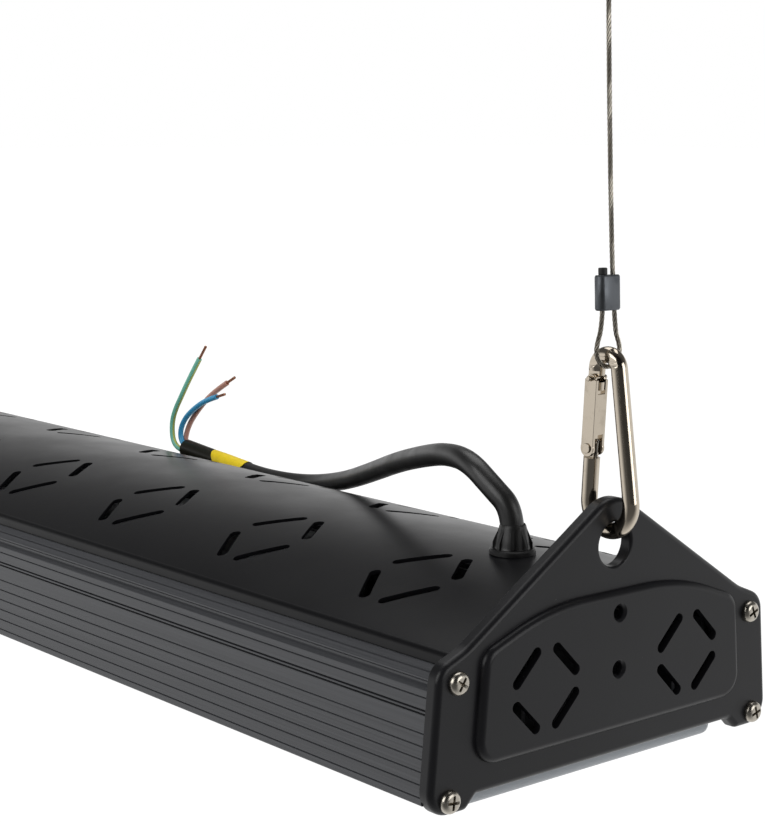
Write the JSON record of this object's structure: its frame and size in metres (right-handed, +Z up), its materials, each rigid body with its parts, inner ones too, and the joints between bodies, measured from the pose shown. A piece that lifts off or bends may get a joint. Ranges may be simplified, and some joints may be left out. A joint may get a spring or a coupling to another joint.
{
  "type": "hanging shop light",
  "caption": "Long finned light housing with a curved vented cover and lugged end plates, hung on snap hooks and wire ropes from ceiling eyes.",
  "frame": {"origin": "on the ceiling face, midway between the two ceiling eyes", "axes": "+X along the housing towards the end where the cable enters, +Z up, +Y completes the right hand"},
  "size_m": [0.6716, 0.1771, 0.3433],
  "materials": {
    "sink_coat": "satin black powder coat on extruded aluminium",
    "cover_coat": "satin black powder coat on steel sheet",
    "plate_coat": "satin black powder coat on cast aluminium",
    "stainless": "stainless steel, as turned",
    "board": "white solder resist",
    "emitter": "yellow phosphor in a white frame",
    "lens": "frosted polycarbonate",
    "seal": "closed-cell silicone foam",
    "driver_metal": "plain sheet aluminium",
    "zinc_sheet": "zinc plated sheet steel",
    "terminal": "white polyamide",
    "relief": "black polyamide",
    "cable": "black rubber sheath",
    "tape": "black and yellow hazard tape",
    "core_earth": "green and yellow PVC",
    "core_neutral": "blue PVC",
    "core_live": "brown PVC",
    "copper": "bare copper strands",
    "nickel": "nickel plated steel wire",
    "spring_steel": "bright spring wire",
    "rope_steel": "stranded galvanised steel wire",
    "ferrule": "pressed aluminium",
    "cap_rubber": "black rubber",
    "zinc_steel": "zinc plated steel"
  },
  "bodies": {
    "ceiling": {"ceiling_eye_a": "zinc_steel", "ceiling_eye_b": "zinc_steel"},
    "housing": {"heat_sink": "sink_coat", "top_cover": "cover_coat", "end_plate_a": "plate_coat", "end_plate_b": "plate_coat", "end_screws_a": "stainless", "end_screws_b": "stainless", "led_board_left": "board", "led_board_right": "board", "leds_left": "emitter", "leds_right": "emitter", "lens": "lens", "lens_gasket": "seal", "lens_screws": "stainless", "driver_case": "driver_metal", "driver_lid": "driver_metal", "driver_brackets": "zinc_sheet", "driver_screws": "stainless", "terminal_block": "terminal", "strain_relief": "relief", "relief_nut": "relief", "mains_cable": "cable", "cable_tape": "tape", "wire_earth": "core_earth", "wire_neutral": "core_neutral", "wire_live": "core_live", "strand_ends": "copper"},
    "rope_line_a": {"wire_rope_a": "rope_steel", "ferrule_low_a": "ferrule", "ferrule_top_a": "ferrule", "rope_caps_a": "cap_rubber"},
    "hook_a": {"snap_hook_a": "nickel", "hinge_rivet_a": "nickel", "gate_spring_a": "spring_steel"},
    "hook_gate_a": {"gate_a": "nickel", "latch_pin_a": "nickel"},
    "rope_line_b": {"wire_rope_b": "rope_steel", "ferrule_low_b": "ferrule", "ferrule_top_b": "ferrule", "rope_caps_b": "cap_rubber"},
    "hook_b": {"snap_hook_b": "nickel", "hinge_rivet_b": "nickel", "gate_spring_b": "spring_steel"},
    "hook_gate_b": {"gate_b": "nickel", "latch_pin_b": "nickel"}
  },
  "joints": [
    {"name": "rope_swing_a", "type": "hinge", "parent": "ceiling", "child": "rope_line_a", "pos_m": [0.31285, 0, -0.0239], "axis": [1, 0, 0], "range_deg": [-30, 30]},
    {"name": "hook_swing_a", "type": "hinge", "parent": "rope_line_a", "child": "hook_a", "pos_m": [0.32043, 0, -0.19173], "axis": [1, 0, 0], "range_deg": [-45, 45]},
    {"name": "gate_open_a", "type": "hinge", "parent": "hook_a", "child": "hook_gate_a", "pos_m": [0.31381, 0, -0.22546], "axis": [0, 1, 0], "range_deg": [0, 10], "stiffness_Nm_per_rad": 0.01, "springref_deg": -22.92},
    {"name": "rope_swing_b", "type": "hinge", "parent": "ceiling", "child": "rope_line_b", "pos_m": [-0.31285, 0, -0.0239], "axis": [1, 0, 0], "range_deg": [-30, 30]},
    {"name": "hook_swing_b", "type": "hinge", "parent": "rope_line_b", "child": "hook_b", "pos_m": [-0.32043, 0, -0.19173], "axis": [1, 0, 0], "range_deg": [-45, 45]},
    {"name": "gate_open_b", "type": "hinge", "parent": "hook_b", "child": "hook_gate_b", "pos_m": [-0.31381, 0, -0.22546], "axis": [0, -1, 0], "range_deg": [0, 10], "stiffness_Nm_per_rad": 0.01, "springref_deg": -22.92},
    {"name": "housing_rock", "type": "hinge", "parent": "hook_a", "child": "housing", "pos_m": [0.32325, 0, -0.25406], "axis": [1, 0, 0], "range_deg": [-40, 40]}
  ],
  "couplings": [
    {"joint": "rope_swing_b", "follows": "rope_swing_a", "ratio": 1},
    {"joint": "hook_swing_b", "follows": "hook_swing_a", "ratio": 1}
  ]
}
